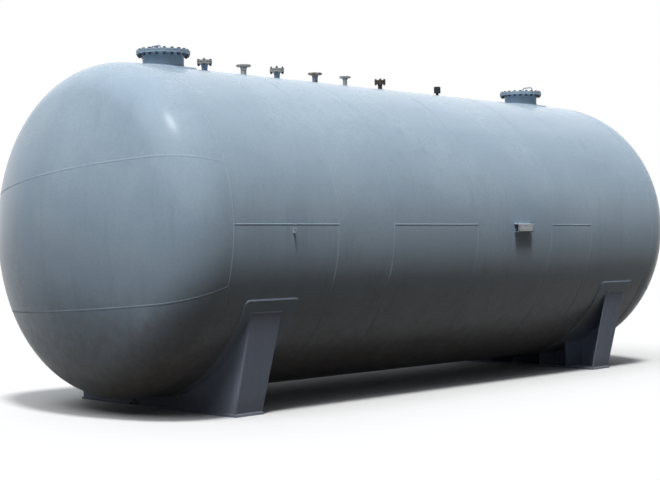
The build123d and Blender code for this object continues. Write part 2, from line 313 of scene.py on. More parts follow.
def make_settled_dust():
    """Dust that settles on what faces up."""
    group, given, out = new_group("settled_dust", {"Grain": 7.0}, ("Mask",))
    facing = upward(group, add(group, "ShaderNodeNewGeometry").outputs["Normal"])
    drift = spread(group, noise(group, here(group), given["Grain"], 6.0, 0.65), 0.3, 0.72)
    group.links.new(times(group, spread(group, facing, 0.5, 0.99), drift), out["Mask"])
    return group


def make_ground_splash_and_shade():
    """Soil thrown up from the ground, thinning out over twice the edge; on the tank's lower half it is also
    painted shade.
    """
    group, given, out = new_group("ground_splash_and_shade", {"Reach": 0.4, "Edge": 0.11}, ("Mask",))
    spot = here(group)
    ragged = times(group, noise(group, spot, 9.0, 6.0, 0.7), given["Reach"])
    low_edge = times(group, given["Edge"], -1.0)
    above = minus(group, upward(group, spot), ragged)
    group.links.new(spread(group, above, low_edge, given["Edge"], 1.0, 0.0), out["Mask"])
    return group


def make_edge_wear_and_highlight():
    """Where paint is worn off along edges; where a pale colour goes on this mask, it is a painted highlight
    along them.
    """
    group, given, out = new_group("edge_wear_and_highlight", {"Width": 0.004}, ("Mask",))
    rounded = add(group, "ShaderNodeBevel", {"samples": 6}, {"Radius": given["Width"]}).outputs[0]
    flat = add(group, "ShaderNodeNewGeometry").outputs["Normal"]
    dot = {"operation": "DOT_PRODUCT"}
    alike = add(group, "ShaderNodeVectorMath", dot, {0: rounded, 1: flat}).outputs["Value"]
    edge = spread(group, alike, 0.80, 0.985, 1.0, 0.0)
    worn_and_lit = spread(group, noise(group, here(group), 38.0, 5.0, 0.65), 0.42, 0.6)
    group.links.new(times(group, edge, worn_and_lit), out["Mask"])
    return group


def make_rust_bloom():
    """Rust in two browns, with its spread and its rough skin."""
    group, given, out = new_group("rust_bloom", {"Size": 22.0, "Cover": 0.5}, ("Color", "Mask", "Height"))
    spot = here(group)
    coarse = noise(group, spot, given["Size"], 6.0, 0.65)
    fine = noise(group, spot, 260.0, 4.0, 0.6)
    level = minus(group, 0.75, times(group, given["Cover"], 0.5))
    mask = spread(group, minus(group, coarse, level), -0.06, 0.08)
    group.links.new(blend(group, spread(group, fine, 0.3, 0.7), RUST_DARK, RUST_PALE), out["Color"])
    group.links.new(mask, out["Mask"])
    group.links.new(times(group, times(group, fine, mask), RUST_HEIGHT), out["Height"])
    return group


def make_bead_ripples():
    """The chevron ripples along a weld bead, from the length along the bead; the mask is high on the crests,
    and the troughs get painted shade.
    """
    group, given, out = new_group("bead_ripples", {"Pitch": 0.006}, ("Height", "Mask"))
    run = add(group, "ShaderNodeAttribute", {"attribute_name": "bead_run"}).outputs["Fac"]
    wander = times(group, noise(group, here(group), 60.0, 2.0), 0.010)
    turns = maths(group, "DIVIDE", plus(group, run, wander), given["Pitch"])
    ripple = maths(group, "SINE", times(group, turns, 2 * pi))
    group.links.new(times(group, ripple, RIPPLE_HEIGHT), out["Height"])
    group.links.new(spread(group, ripple, -1.0, 1.0), out["Mask"])
    return group


sprayed_paint = make_sprayed_paint()
rain_marks = make_rain_marks()
settled_dust = make_settled_dust()
ground_splash_and_shade = make_ground_splash_and_shade()
edge_wear_and_highlight = make_edge_wear_and_highlight()
rust_bloom = make_rust_bloom()
bead_ripples = make_bead_ripples()


# Finishes

def start_finish(name, specular=PLAIN_SPECULAR):
    """A fresh material with nothing but its shader."""
    finish = bpy.data.materials.new(name)
    finish.use_nodes = True
    tree = finish.node_tree
    tree.nodes.clear()
    shader = add(tree, "ShaderNodeBsdfPrincipled", {}, {"Specular IOR Level": specular})
    add(tree, "ShaderNodeOutputMaterial", {}, {"Surface": shader.outputs[0]})
    return finish, tree, shader


def wire(tree, shader, colour, rough, height, metal=None):
    """Feeds the shader with a colour, a roughness and a height in metres."""
    tree.links.new(colour, shader.inputs["Base Color"])
    tree.links.new(rough, shader.inputs["Roughness"])
    bump = add(tree, "ShaderNodeBump", {}, {"Height": height, "Distance": 1.0, "Strength": 1.0})
    tree.links.new(bump.outputs[0], shader.inputs["Normal"])
    if metal is not None:
        tree.links.new(metal, shader.inputs["Metallic"])


def dusted(tree, colour, amount):
    """A colour with settled dust over it, and the dust's mask."""
    settled = times(tree, place(tree, settled_dust)["Mask"], amount)
    return blend(tree, settled, colour, DUST), settled


def splashed_and_shaded(tree, colour, splash_and_shade, reach, edge):
    """A colour with soil from the ground over it, which on the tank's lower half is also painted shade, and
    the mask of both.
    """
    soil_and_shade = times(tree, place(tree, ground_splash_and_shade, {"Reach": reach, "Edge": edge})["Mask"], splash_and_shade)
    return blend(tree, soil_and_shade, colour, SOIL_AND_SHADE), soil_and_shade


def painted(name, paint, faded, gloss=0.42, rain=0.25, dust=0.35, splash_and_shade=0.5, reach=0.4, edge=0.11, wear=0.6,
            rust=0.0, rubbed_and_lit_to=None, neck_to=None, neck_paint=(SHADED_NECK_BLUE, TANK_BLUE)):
    """Weathered paint on steel, worn to rust along edges, unless a paler colour is given, which paints a
    highlight there; another paint covers it up to neck_to.
    """
    finish, tree, shader = start_finish(name, PAINT_SPECULAR)
    coat = place(tree, sprayed_paint, {"Paint": paint, "Faded": faded, "Gloss": gloss})
    colour, rough, height = coat["Color"], coat["Roughness"], coat["Height"]
    if neck_to:
        spot = here(tree)
        ragged = plus(tree, upward(tree, spot), times(tree, noise(tree, spot, 70.0), NECK_RAGGED))
        above = spread(tree, ragged, neck_to, neck_to + NECK_FADE)
        neck = {"Paint": neck_paint[0], "Faded": neck_paint[1], "Gloss": gloss}
        colour = blend(tree, above, place(tree, sprayed_paint, neck)["Color"], colour)
    marks = place(tree, rain_marks)["Mask"]
    colour = blend(tree, times(tree, marks, rain), colour, RAIN)
    if rust:
        bloom = place(tree, rust_bloom, {"Cover": rust})
        colour = blend(tree, bloom["Mask"], colour, bloom["Color"])
        rough = maths(tree, "MAXIMUM", rough, times(tree, bloom["Mask"], RUST_ROUGH))
        height = plus(tree, height, bloom["Height"])
    # Paint worn off along edges; a given pale colour there is a painted highlight
    if wear:
        worn_and_lit = times(tree, place(tree, edge_wear_and_highlight)["Mask"], wear)
        bared_and_lit = rubbed_and_lit_to or place(tree, rust_bloom, {"Size": 40.0, "Cover": 0.9})["Color"]
        colour = blend(tree, worn_and_lit, colour, bared_and_lit)
        rough = plus(tree, rough, times(tree, worn_and_lit, WORN_ROUGH))
    colour, settled = dusted(tree, colour, dust)
    colour, soil_and_shade = splashed_and_shaded(tree, colour, splash_and_shade, reach, edge)
    rough = plus(tree, rough, times(tree, plus(tree, settled, soil_and_shade), DIRT_ROUGH), clamp=True)
    wire(tree, shader, colour, rough, height)
    return finish


def welded(name, paint, faded, splash_and_shade=0.5, reach=0.4, edge=0.11):
    """Paint over a weld bead, with painted shade in the troughs between its ripples."""
    finish, tree, shader = start_finish(name, PAINT_SPECULAR)
    coat = place(tree, sprayed_paint, {"Paint": paint, "Faded": faded, "Gloss": 0.40})
    bead = place(tree, bead_ripples)
    # Painted shade: the troughs between the ripples are darkened towards the grey of the rain marks
    trough_shade = times(tree, minus(tree, 1.0, bead["Mask"]), 0.10)
    colour = blend(tree, trough_shade, coat["Color"], RAIN)
    colour = dusted(tree, colour, 0.10)[0]
    colour, soil_and_shade = splashed_and_shaded(tree, colour, splash_and_shade, reach, edge)
    rough = plus(tree, coat["Roughness"], times(tree, soil_and_shade, DIRT_ROUGH), clamp=True)
    wire(tree, shader, colour, rough, plus(tree, coat["Height"], bead["Height"]))
    return finish


def make_rusty_steel():
    """Bare steel gone dark brown, with redder rust in places."""
    finish, tree, shader = start_finish("rusty_steel")
    bloom = place(tree, rust_bloom, {"Size": 30.0, "Cover": 0.42})
    grain = noise(tree, here(tree), 110.0, 5.0, 0.65)
    dark, pale = tone(0.040, 0.033, 0.026), tone(0.105, 0.086, 0.064)
    steel = blend(tree, spread(tree, grain, 0.3, 0.7), dark, pale)
    colour = blend(tree, times(tree, bloom["Mask"], 0.7), steel, bloom["Color"])
    colour = dusted(tree, colour, 0.3)[0]
    wire(tree, shader, colour, spread(tree, grain, 0.3, 0.7, 0.62, 0.85), bloom["Height"])
    return finish


def make_gasket_rubber():
    """Black rubber with a fine grain."""
    finish, tree, shader = start_finish("gasket_rubber")
    grain = noise(tree, here(tree), 140.0, 5.0, 0.6)
    dark, pale = tone(0.018, 0.018, 0.019), tone(0.05, 0.048, 0.045)
    colour = blend(tree, spread(tree, grain, 0.3, 0.75), dark, pale)
    wire(tree, shader, colour, spread(tree, grain, 0.3, 0.7, 0.6, 0.85), times(tree, grain, RUBBER_HEIGHT))
    return finish


def make_bolt_steel():
    """Dark bolts and nuts with a little rust, and with threads along the shanks."""
    finish, tree, shader = start_finish("bolt_steel")
    spot = here(tree)
    bloom = place(tree, rust_bloom, {"Size": 60.0, "Cover": 0.30})
    grain = noise(tree, spot, 160.0, 3.0)
    dark, pale = tone(0.045, 0.055, 0.068), tone(0.115, 0.130, 0.148)
    steel = blend(tree, spread(tree, grain, 0.3, 0.7), dark, pale)
    colour = blend(tree, times(tree, bloom["Mask"], 0.8), steel, bloom["Color"])
    rough = spread(tree, bloom["Mask"], 0.0, 1.0, 0.5, 0.85)
    metal = spread(tree, bloom["Mask"], 0.0, 1.0, 0.35, 0.0)
    turns = maths(tree, "SINE", times(tree, upward(tree, spot), 2 * pi / THREAD_PITCH))
    threaded = add(tree, "ShaderNodeAttribute", {"attribute_name": "threaded"}).outputs["Fac"]
    groove = times(tree, times(tree, turns, threaded), THREAD_HEIGHT)
    wire(tree, shader, colour, rough, plus(tree, groove, bloom["Height"]), metal)
    return finish


def make_plate_metal():
    """Brushed stainless plate, dulled by weather."""
    finish, tree, shader = start_finish("plate_metal")
    spot = here(tree)
    brushed = noise(tree, stretched(tree, spot, (4.0, 400.0, 400.0)), 1.0, 4.0)
    film = noise(tree, spot, 30.0, 5.0, 0.6)
    dark, pale = tone(0.26, 0.275, 0.29), tone(0.44, 0.455, 0.47)
    colour = blend(tree, spread(tree, brushed, 0.3, 0.7), dark, pale)
    colour = blend(tree, spread(tree, film, 0.45, 0.75, 0.0, 0.5), colour, RAIN)
    rough = spread(tree, film, 0.3, 0.8, 0.3, 0.6)
    metal = spread(tree, film, 0.40, 0.70, 0.42, 0.12)
    wire(tree, shader, colour, rough, times(tree, brushed, BRUSHED_HEIGHT), metal)
    return finish


finishes = {
    "vessel_paint": painted("fitting_paint", TANK_BLUE, TANK_FADED, gloss=0.28, wear=0.5, rubbed_and_lit_to=RUBBED_EDGE_HIGHLIGHT),
    # Paler and bluer than the tank's paint: painted light that makes up for the shade on the saddle's ribs
    "saddle_paint": painted("saddle_paint", tone(0.44, 0.53, 0.71), tone(0.50, 0.59, 0.76), splash_and_shade=0.35,
                            reach=0.25, wear=0.5, rubbed_and_lit_to=RUBBED_EDGE_HIGHLIGHT),
    "nozzle_paint": painted("nozzle_paint", tone(0.42, 0.415, 0.40), tone(0.52, 0.51, 0.49), gloss=0.45,
                            dust=0.5, rust=0.20, neck_to=NECK_PAINT_TOP),
    "rusty_steel": make_rusty_steel(),
    "gasket_rubber": make_gasket_rubber(),
    "bracket_paint": painted("bracket_paint", tone(0.34, 0.41, 0.47), tone(0.42, 0.49, 0.54), wear=0.5,
                             rust=0.1),
}
tank_paint = painted("tank_paint", TANK_BLUE, TANK_FADED, gloss=0.14, dust=0.14, wear=0.0, **TANK_SOIL_AND_SHADE)
brown_flange = painted("brown_flange", tone(0.25, 0.20, 0.15), tone(0.38, 0.36, 0.33), gloss=0.5, dust=0.5,
                       wear=0.5, rust=0.35, neck_to=BROWN_NECK_TOP)
pale_neck = painted("pale_neck", tone(0.34, 0.34, 0.325), tone(0.44, 0.435, 0.42), gloss=0.45, dust=0.5,
                    rust=0.15, neck_to=PALE_NECK_TOP,
                    neck_paint=(tone(0.56, 0.56, 0.55), tone(0.68, 0.68, 0.66)))
black_cap = painted("black_cap", tone(0.030, 0.038, 0.046), tone(0.055, 0.064, 0.072), gloss=0.45, dust=0.3,
                    wear=0.4)
# Weld paint paler than the tank's own: a painted highlight along the seams
tank_weld_highlight = welded("tank_weld_highlight", tone(0.408, 0.535, 0.664), tone(0.482, 0.612, 0.732), **TANK_SOIL_AND_SHADE)
saddle_weld = welded("saddle_weld", tone(0.44, 0.51, 0.63), tone(0.50, 0.57, 0.68))
bolt_steel = make_bolt_steel()
plate_metal = make_plate_metal()

for part in frame["record"]["subparts"]:
    node = part["node"]
    finish = finishes[part["material_slot"]]
    if node.startswith(("shell_course", "head_")):
        finish = tank_paint
    elif node == "nozzle_4":
        finish = brown_flange
    elif node in ("nozzle_2", "nozzle_5"):
        finish = pale_neck
    elif node.startswith("nozzle_7"):
        finish = black_cap
    cad[node].material_slots[0].material = finish


# Node trees that grow the pieces which repeat or follow a line

def new_tree(name, inputs):
    """An empty geometry tree with named inputs, and its two end nodes."""
    tree = bpy.data.node_groups.new(name, "GeometryNodeTree")
    tree.interface.new_socket("Geometry", in_out="INPUT", socket_type="NodeSocketGeometry")
    for label, value in inputs.items():
        kind = "NodeSocketInt" if isinstance(value, int) else "NodeSocketFloat"
        tree.interface.new_socket(label, in_out="INPUT", socket_type=kind).default_value = value
    tree.interface.new_socket("Material", in_out="INPUT", socket_type="NodeSocketMaterial")
    tree.interface.new_socket("Geometry", in_out="OUTPUT", socket_type="NodeSocketGeometry")
    return tree, tree.nodes.new("NodeGroupInput").outputs, tree.nodes.new("NodeGroupOutput").inputs


def shape(tree, kind, settings=(), inputs=()):
    """Adds a geometry node and gives its first output."""
    return add(tree, "GeometryNode" + kind, settings, inputs).outputs[0]


def stored(tree, geometry, name, value):
    """Geometry whose points keep a value under a name."""
    return shape(tree, "StoreNamedAttribute", {"data_type": "FLOAT", "domain": "POINT"},
                 {"Geometry": geometry, "Name": name, "Value": value})


def smoothed(tree, geometry):
    return shape(tree, "SetShadeSmooth", {}, {"Geometry": geometry, "Shade Smooth": True})


def close_tree(tree, geometry, given, out):
    """Ends a tree: real geometry with its material."""
    real = shape(tree, "RealizeInstances", {}, {"Geometry": geometry})
    dressed = shape(tree, "SetMaterial", {}, {"Geometry": real, "Material": given["Material"]})
    tree.links.new(dressed, out["Geometry"])


def make_bead_tree():
    """A weld bead along each line of the mesh, standing up in the direction that its points give."""
    tree, given, out = new_tree("weld_bead", {"Width": RING_BEAD[0], "Height": RING_BEAD[1],
                                              "Sink": BEAD_SINK, "Unevenness": BEAD_UNEVENNESS})
    line = shape(tree, "MeshToCurve", {}, {"Mesh": given["Geometry"]})
    up = shape(tree, "InputNamedAttribute", {"data_type": "FLOAT_VECTOR"}, {"Name": "bead_up"})
    line = shape(tree, "SetCurveNormal", {"mode": "FREE"}, {"Curve": line, "Normal": up})
    line = stored(tree, line, "bead_run", add(tree, "GeometryNodeSplineParameter").outputs["Length"])
    arc = shape(tree, "CurveArc", {"mode": "RADIUS"},
                {"Resolution": BEAD_SIDES, "Radius": 1.0, "Start Angle": -pi / 2, "Sweep Angle": pi})
    size = vector(tree, given["Height"], times(tree, given["Width"], 0.5), 1.0)
    drop = vector(tree, times(tree, given["Sink"], -1.0))
    section = shape(tree, "Transform", {}, {"Geometry": arc, "Scale": size, "Translation": drop})
    section = shape(tree, "SetSplineCyclic", {}, {"Geometry": section, "Cyclic": True})
    lumps = minus(tree, noise(tree, shape(tree, "InputPosition"), 22.0, 2.0), 0.5)
    scale = plus(tree, times(tree, lumps, given["Unevenness"]), 1.0)
    bead = shape(tree, "CurveToMesh", {},
                 {"Curve": line, "Profile Curve": section, "Scale": scale, "Fill Caps": True})
    close_tree(tree, smoothed(tree, bead), given, out)
    return tree


def make_bolt_tree():
    """A bolt with a head or nut above, a nut below and a washer under each, on each point of the mesh."""
    tree, given, out = new_tree("bolt_and_nut", MANWAY_BOLT)
    half_grip = times(tree, given["Grip"], 0.5)
    seat = plus(tree, half_grip, given["Washer"])
    top = plus(tree, plus(tree, seat, given["Head height"]), given["Above"])
    bottom = plus(tree, plus(tree, seat, given["Nut height"]), given["Below"])
    filled = {"fill_type": "NGON"}
    shank = shape(tree, "MeshCylinder", filled,
                  {"Vertices": SHANK_SIDES, "Radius": given["Shank"], "Depth": plus(tree, top, bottom)})
    lift = vector(tree, z=times(tree, minus(tree, top, bottom), 0.5))
    shank = shape(tree, "Transform", {}, {"Geometry": shank, "Translation": lift})
    shank = stored(tree, shank, "threaded", 1.0)
    washer_radius = times(tree, given["Hexagon"], WASHER_OVER_NUT)
    washer = shape(tree, "MeshCylinder", filled,
                   {"Vertices": WASHER_SIDES, "Radius": washer_radius, "Depth": given["Washer"]})
    washer_at = plus(tree, half_grip, times(tree, given["Washer"], 0.5))
    pieces = add(tree, "GeometryNodeJoinGeometry", {}, {"Geometry": shank})
    for way, turn, height in ((1.0, 0.0, given["Head height"]), (-1.0, pi, given["Nut height"])):
        body = times(tree, height, NUT_STRAIGHT)
        block = add(tree, "GeometryNodeMeshCylinder", filled,
                    {"Vertices": 6, "Radius": given["Hexagon"], "Depth": body}).outputs
        topped = add(tree, "GeometryNodeExtrudeMesh", {"mode": "FACES"},
                     {"Mesh": block["Mesh"], "Selection": block["Top"],
                      "Offset Scale": times(tree, height, NUT_BEVEL)}).outputs
        hexagon = shape(tree, "ScaleElements", {"domain": "FACE"},
                        {"Geometry": topped["Mesh"], "Selection": topped["Top"], "Scale": NUT_TOP})
        hexagon_at = plus(tree, seat, times(tree, body, 0.5))
        for solid, level in ((washer, washer_at), (hexagon, hexagon_at)):
            lift = vector(tree, z=times(tree, level, way))
            moved = shape(tree, "Transform", {},
                          {"Geometry": solid, "Translation": lift, "Rotation": (turn, 0.0, 0.0)})
            tree.links.new(moved, pieces.inputs[0])
    spin = add(tree, "FunctionNodeRandomValue", {"data_type": "FLOAT"},
               {2: 0.0, 3: 2 * pi, "Seed": given["Seed"]}).outputs[1]
    set_out = shape(tree, "InstanceOnPoints", {}, {"Points": given["Geometry"], "Instance": pieces.outputs[0],
                                                   "Rotation": vector(tree, z=spin)})
    close_tree(tree, set_out, given, out)
    return tree


def make_rivet_tree():
    """A domed rivet head on each point of the mesh, facing -Y."""
    tree, given, out = new_tree("rivet_heads", RIVET)
    ball = shape(tree, "MeshUVSphere", {}, {"Segments": 14, "Rings": 8, "Radius": 1.0})
    size = vector(tree, given["Head"], given["Dome"], given["Head"])
    dome = smoothed(tree, shape(tree, "Transform", {}, {"Geometry": ball, "Scale": size}))
    heads = shape(tree, "InstanceOnPoints", {}, {"Points": given["Geometry"], "Instance": dome})
    close_tree(tree, heads, given, out)
    return tree


bead_tree = make_bead_tree()
bolt_tree = make_bolt_tree()
rivet_tree = make_rivet_tree()


# Pieces

def put(name, data):
    """Puts a mesh, a lamp or a camera in the scene."""
    piece = bpy.data.objects.new(name, data)
    scene.collection.objects.link(piece)
    return piece


def hang(piece):
    """Makes a finished piece part of the tank."""
    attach(piece, "root")
    return piece


def face_outwards(mesh):
    """Turns every face of a closed mesh outwards."""
    solid = bmesh.new()
    solid.from_mesh(mesh)
    bmesh.ops.recalc_face_normals(solid, faces=solid.faces)
    solid.to_mesh(mesh)
    solid.free()


def grow(name, mesh, tree, values):
    """Runs a node tree on a mesh and keeps what it grows as a plain mesh."""
    seed = put(name + "_seed", mesh)
    modifier = seed.modifiers.new(name, "NODES")
    modifier.node_group = tree
    for item in tree.interface.items_tree:
        if item.in_out == "INPUT" and item.name in values:
            modifier[item.identifier] = values[item.name]
    graph = bpy.context.evaluated_depsgraph_get()
    grown = bpy.data.meshes.new_from_object(seed.evaluated_get(graph))
    seed.modifiers.remove(modifier)
    bpy.data.objects.remove(seed)
    grown.name = name
    face_outwards(grown)
    return hang(put(name, grown))


# Lines that the weld beads follow

BEAD_STEP = 0.014
WEAR_STEP = 0.02
RING_POINTS = 720
BLANK_POINTS = 900
SADDLE_POINTS = 300
NECK_POINTS = 240
CORNER_POINTS = 12
LONG_SEAM_ANGLE = 1.3
# Share of a leaning rib's length, at its top, that its weld leaves out, and how steeply the beads hang
# that join the inner ribs to the wear plate
RIB_WELD_GAP = 0.03
RIB_TOP_HANG = -0.8


def unit(vectors):
    vectors = np.asarray(vectors, float)
    return vectors / np.linalg.norm(vectors, axis=-1, keepdims=True)


def evenly(points, ups, closed=False):
    """Spaces a line's points evenly."""
    points, ups = np.asarray(points, float), np.asarray(ups, float)
    if closed:
        points, ups = np.vstack([points, points[:1]]), np.vstack([ups, ups[:1]])
    length = np.concatenate([[0.0], np.cumsum(np.linalg.norm(np.diff(points, axis=0), axis=1))])
    count = max(3, int(length[-1] / BEAD_STEP))
    at = np.linspace(0.0, length[-1], count, endpoint=not closed)
    even = np.column_stack([np.interp(at, length, points[:, k]) for k in range(3)])
    up = np.column_stack([np.interp(at, length, ups[:, k]) for k in range(3)])
    return even, unit(up), closed


def straight(start, end, up):
    return evenly([start, end], [up, up])


def line_mesh(name, lines):
    """One mesh of loose lines whose points know which way their bead stands."""
    points, ups, edges = [], [], []
    for even, up, closed in lines:
        first = sum(len(p) for p in points)
        count = len(even)
        points.append(even)
        ups.append(up)
        edges += [(first + i, first + i + 1) for i in range(count - 1)]
        if closed:
            edges.append((first + count - 1, first))
    mesh = bpy.data.meshes.new(name)
    mesh.from_pydata(np.vstack(points).tolist(), edges, [])
    direction = mesh.attributes.new("bead_up", "FLOAT_VECTOR", "POINT")
    direction.data.foreach_set("vector", np.vstack(ups).astype(np.float32).ravel())
    return mesh


def weld(name, lines, bead, finish):
    """A piece with a bead along each line."""
    values = {"Width": bead[0], "Height": bead[1], "Sink": BEAD_SINK, "Unevenness": BEAD_UNEVENNESS,
              "Material": finish}
    return grow(name, line_mesh(name + "_lines", lines), bead_tree, values)


def around(angle):
    """Outward direction in the cross-section; 0 degrees is the near side, 90 is the crown."""
    a = np.radians(angle)
    return np.stack([np.zeros_like(a), -np.cos(a), np.sin(a)], axis=-1)


def on_shell(x, angle, radius=TANK_RADIUS):
    """Points at a distance along the tank and an angle round it."""
    out = around(np.asarray(angle, float))
    none = np.zeros_like(out[..., 0])
    return out * radius + np.stack([x + none, none, AXIS_HEIGHT + none], axis=-1)


def ring_seam(x):
    """A seam round the shell; its run starts and ends at the bottom."""
    angle = np.linspace(-90.0, 270.0, RING_POINTS, endpoint=False)
    return evenly(on_shell(x, angle), around(angle), closed=True)


def long_seam(course):
    """The lengthwise seam of a course, on the near side of every other one."""
    angle = LONG_SEAM_ANGLE if course % 2 == 0 else 180.0 - LONG_SEAM_ANGLE
    ends = [on_shell(x, angle) for x in (SEAMS[course], SEAMS[course + 1])]
    return straight(ends[0], ends[1], around(np.float64(angle)))


KNUCKLE_OFFSET = TANK_RADIUS - HEAD_KNUCKLE
CROWN_ANGLE = asin(KNUCKLE_OFFSET / (HEAD_CROWN - HEAD_KNUCKLE))
CROWN_CENTRE = TANGENT_END - (HEAD_CROWN - HEAD_KNUCKLE) * cos(CROWN_ANGLE)
CROWN_LENGTH = HEAD_CROWN * CROWN_ANGLE
KNUCKLE_LENGTH = HEAD_KNUCKLE * (pi / 2 - CROWN_ANGLE)
HEAD_LENGTH = CROWN_LENGTH + KNUCKLE_LENGTH + TANGENT_END - SEAMS[-1]


def on_head(side, across, up):
    """Where a point of a head's flat blank lies in the pressed head, and the way out of the plate there."""
    run = np.hypot(across, up)
    bend = np.clip((run - CROWN_LENGTH) / HEAD_KNUCKLE, 0.0, pi / 2 - CROWN_ANGLE)
    tilt = np.minimum(run / HEAD_CROWN, CROWN_ANGLE) + bend
    on_crown = run < CROWN_LENGTH
    radius = np.where(on_crown, HEAD_CROWN * np.sin(tilt), KNUCKLE_OFFSET + HEAD_KNUCKLE * np.sin(tilt))
    crown_x, knuckle_x = CROWN_CENTRE + HEAD_CROWN * np.cos(tilt), TANGENT_END + HEAD_KNUCKLE * np.cos(tilt)
    flange_run = np.maximum(run - CROWN_LENGTH - KNUCKLE_LENGTH, 0.0)
    x = np.where(on_crown, crown_x, knuckle_x) - flange_run
    radial = np.stack([np.zeros_like(run), across, up], axis=-1) / np.maximum(run, 1e-9)[:, None]
    points = radial * radius[:, None] + np.stack([side * x, 0 * x, AXIS_HEIGHT + 0 * x], axis=-1)
    out = radial * np.sin(tilt)[:, None] + side * ALONG * np.cos(tilt)[:, None]
    return points, out


def blank_seam(side, level, lean):
    """A straight seam of a head's flat blank: its distance over the middle and its lean in degrees."""
    reach = sqrt(HEAD_LENGTH**2 - level**2)
    along, turn = np.linspace(-reach, reach, BLANK_POINTS), radians(lean)
    across = along * cos(turn) - level * sin(turn)
    up = along * sin(turn) + level * cos(turn)
    return evenly(*on_head(side, across, up))


def rounded_box(half_width, half_height, corner, points):
    """The outline of a box with round corners: two distances and the way out at each point."""
    outline = []
    for u, v, start in ((1, 1, 0.0), (-1, 1, 90.0), (-1, -1, 180.0), (1, -1, 270.0)):
        for turn in np.radians(np.linspace(start, start + 90.0, points)):
            outline.append((u * (half_width - corner) + corner * cos(turn),
                            v * (half_height - corner) + corner * sin(turn), cos(turn), sin(turn)))
    return np.array(outline)


def wear_outline(side):
    """The fillet weld round a wear plate, on the shell beside the plate's edge."""
    flat = rounded_box(WEAR_HALF_WIDTH, radians(WEAR_HALF_WRAP) * TANK_RADIUS, WEAR_CORNER, CORNER_POINTS)
    flat[:, 0] += side * (SADDLE_X - WEAR_SHIFT)
    dense = []
    for a, b in zip(flat, np.roll(flat, -1, axis=0)):
        steps = max(1, int(np.hypot(*(b - a)[:2]) / WEAR_STEP))
        dense += [a + (b - a) * k / steps for k in range(steps)]
    dense = np.array(dense)
    angle = np.degrees(dense[:, 1] / TANK_RADIUS) - 90.0
    tangent = np.stack([0 * angle, np.sin(np.radians(angle)), np.cos(np.radians(angle))], axis=-1)
    edge = tangent * dense[:, 3:4] + ALONG * dense[:, 2:3]
    return evenly(on_shell(dense[:, 0], angle), unit(around(angle) + edge), closed=True)


def saddle_lines(side):
    """Fillet welds between the plates of a saddle and along its wear plate."""
    low = side * SADDLE_X - SADDLE_WIDTH / 2
    high = low + SADDLE_WIDTH
    web = (low, low + SADDLE_PLATE) if side < 0 else (high - SADDLE_PLATE, high)
    inside = web[1] if side < 0 else web[0]
    outer_face, open_edge = (low, high) if side < 0 else (high, low)
    foot_edge = outer_face - side * SADDLE_FOOT_WIDTH
    foot_ends = sorted((outer_face, foot_edge))
    half = SADDLE_WRAP / 2
    horn = np.array([WEAR_OUTER * sin(radians(half)), AXIS_HEIGHT - WEAR_OUTER * cos(radians(half))])
    foot = np.array([SADDLE_FOOT, BASE_TOP])
    lean = unit(horn - foot)
    inner = SADDLE_FOOT - SADDLE_PLATE
    angle = np.linspace(-90.0 - half, -90.0 + half, SADDLE_POINTS)
    lines = []
    for x, way in ((web[0], -1.0), (web[1], 1.0)):
        lines.append(evenly(on_shell(x, angle, WEAR_OUTER), unit(around(angle) + way * ALONG)))
        lines.append(straight((x, -inner, BASE_TOP), (x, inner, BASE_TOP), (way, 0.0, 1.0)))
    for sign in (-1.0, 1.0):
        face = np.array([0.0, sign * lean[1], -lean[0]])
        top = np.array([0.0, sign * horn[0], horn[1]])
        base = np.array([0.0, sign * foot[0], foot[1]])
        radial = unit(top - AXIS_HEIGHT * UP)
        for spot, up, ends in ((top, face + radial, (low, high)), (base, face + UP, foot_ends)):
            lines.append(straight(spot + ends[0] * ALONG, spot + ends[1] * ALONG, up))
        shift = np.array([outer_face, -sign * SADDLE_PLATE, 0.0])
        short = RIB_WELD_GAP * (top - base)
        lines.append(straight(base + shift, top + shift - short, side * ALONG))
    for count in RIB_PLACES:
        for sign in (-1.0, 1.0):
            y = count * RIB_PITCH + sign * SADDLE_PLATE / 2
            under = AXIS_HEIGHT - sqrt(WEAR_OUTER**2 - y**2)
            rib_end = foot_edge + (open_edge - foot_edge) * (under - BASE_TOP) / (horn[1] - BASE_TOP)
            lines.append(straight((inside, y, BASE_TOP), (inside, y, under), (-float(side), sign, 0.0)))
            lines.append(straight((inside, y, BASE_TOP), (foot_edge, y, BASE_TOP), (0.0, sign, 1.0)))
            lines.append(straight((inside, y, under), (rib_end, y, under), (0.0, sign, RIB_TOP_HANG)))
    return lines


def circle():
    """Directions all round an upright neck."""
    turn = np.linspace(0.0, 2 * pi, NECK_POINTS, endpoint=False)
    return np.stack([np.cos(turn), np.sin(turn), 0 * turn], axis=-1)


def neck_ring(x, radius, surface=TANK_RADIUS, way=1.0):
    """The weld round a neck on the shell or on a pad."""
    side = circle()
    y = radius * side[:, 1]
    z = way * np.sqrt(surface**2 - y**2)
    normal = np.stack([0 * y, y / surface, z / surface], axis=-1)
    points = np.stack([x + radius * side[:, 0], y, AXIS_HEIGHT + z], axis=-1)
    return evenly(points, unit(side + normal), closed=True)


def flange_ring(x):
    """The weld under a manway's flange."""
    side = circle()
    points = side * MANWAY_NECK + np.array([x, 0.0, CROWN_HEIGHT + MANWAY_FLANGE_LOW])
    return evenly(points, unit(side - UP), closed=True)


